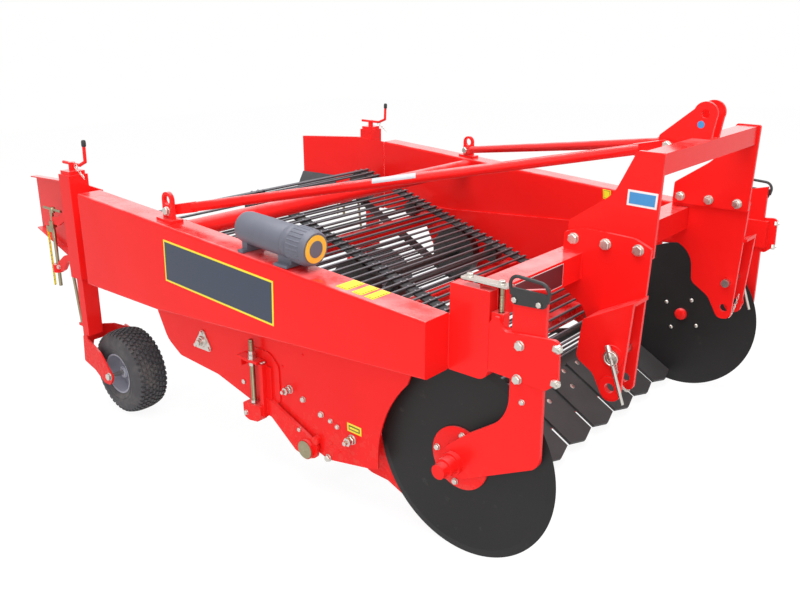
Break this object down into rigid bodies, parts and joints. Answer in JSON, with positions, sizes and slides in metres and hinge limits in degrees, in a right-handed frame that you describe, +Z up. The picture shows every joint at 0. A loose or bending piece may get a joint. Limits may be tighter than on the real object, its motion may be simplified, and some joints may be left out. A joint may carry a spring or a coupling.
{
  "type": "potato harvester",
  "caption": "Potato harvester for a tractor's three-point linkage: shares and side discs feed a rising rod web between deep side beams, on height-adjustable gauge wheels.",
  "frame": {"origin": "on the floor, under the middle of the overall box", "axes": "+Z up, X across the machine with +X its left side, the headstock at -Y and the delivery end at +Y"},
  "size_m": [1.866, 2.7498, 1.2579],
  "materials": {
    "red_paint": "gloss",
    "black_paint": "satin",
    "zinc": "satin",
    "rod_steel": "satin",
    "dark_steel": "matte",
    "rubber": "matte",
    "tyre": "matte",
    "rim_paint": "satin",
    "dark_plastic": "matte"
  },
  "bodies": {
    "frame": {"beam_left": "red_paint", "beam_right": "red_paint", "brace_left": "red_paint", "brace_right": "red_paint", "canister": "dark_plastic", "depth_screws": "zinc", "drive_shaft": "dark_steel", "front_cross_tube": "red_paint", "front_post_left": "red_paint", "front_post_right": "red_paint", "height_spindle_left": "zinc", "height_spindle_right": "zinc", "hitch_ear_left": "red_paint", "hitch_ear_right": "red_paint", "hitch_pins": "zinc", "hitch_plate_left": "red_paint", "hitch_plate_right": "red_paint", "inner_cross_tubes": "red_paint", "lifting_lug_left": "red_paint", "lifting_lug_right": "red_paint", "lower_bearings": "zinc", "lower_rollers": "dark_steel", "mast_head": "red_paint", "mast_plate_left": "red_paint", "mast_plate_right": "red_paint", "rear_cross_tube": "red_paint", "rear_flap_left": "rubber", "rear_flap_right": "rubber", "rear_wing_left": "red_paint", "rear_wing_right": "red_paint", "share_blades": "black_paint", "share_carrier": "red_paint", "side_panel_left": "red_paint", "side_panel_right": "red_paint", "tension_roller": "zinc", "web_belts": "rubber", "web_rods_return": "rod_steel", "web_rods_upper": "rod_steel", "web_rollers": "dark_steel", "web_tensioner_left": "zinc", "web_tensioner_right": "zinc", "wheel_post_left": "red_paint", "wheel_post_right": "red_paint"},
    "leg_right": {"wheel_leg_right": "red_paint"},
    "wheel_right": {"tyre_right": "tyre", "rim_right": "rim_paint"},
    "coulter_right": {"coulter_arm_right": "red_paint", "coulter_handle_right": "black_paint"},
    "disc_right": {"coulter_disc_right": "black_paint", "disc_hub_right": "red_paint"},
    "leg_left": {"wheel_leg_left": "red_paint"},
    "wheel_left": {"tyre_left": "tyre", "rim_left": "rim_paint"},
    "coulter_left": {"coulter_arm_left": "red_paint", "coulter_handle_left": "black_paint"},
    "disc_left": {"coulter_disc_left": "black_paint", "disc_hub_left": "red_paint"}
  },
  "joints": [
    {"name": "wheel_height_right", "type": "slide", "parent": "frame", "child": "leg_right", "axis": [0, -0.0471, 0.9989], "range_m": [-0.07, 0.11]},
    {"name": "wheel_spin_right", "type": "hinge", "parent": "leg_right", "child": "wheel_right", "pos_m": [-0.797, 0.72497, 0.178], "axis": [1, 0, 0], "continuous": true},
    {"name": "coulter_depth_right", "type": "slide", "parent": "frame", "child": "coulter_right", "axis": [0, -0.0471, 0.9989], "range_m": [-0.06, 0.045]},
    {"name": "disc_spin_right", "type": "hinge", "parent": "coulter_right", "child": "disc_right", "pos_m": [-0.783, -0.98355, 0.308], "axis": [1, 0, 0], "continuous": true},
    {"name": "wheel_height_left", "type": "slide", "parent": "frame", "child": "leg_left", "axis": [0, -0.0471, 0.9989], "range_m": [-0.07, 0.11]},
    {"name": "wheel_spin_left", "type": "hinge", "parent": "leg_left", "child": "wheel_left", "pos_m": [0.797, 0.72497, 0.178], "axis": [1, 0, 0], "continuous": true},
    {"name": "coulter_depth_left", "type": "slide", "parent": "frame", "child": "coulter_left", "axis": [0, -0.0471, 0.9989], "range_m": [-0.06, 0.045]},
    {"name": "disc_spin_left", "type": "hinge", "parent": "coulter_left", "child": "disc_left", "pos_m": [0.783, -0.98355, 0.308], "axis": [1, 0, 0], "continuous": true}
  ]
}
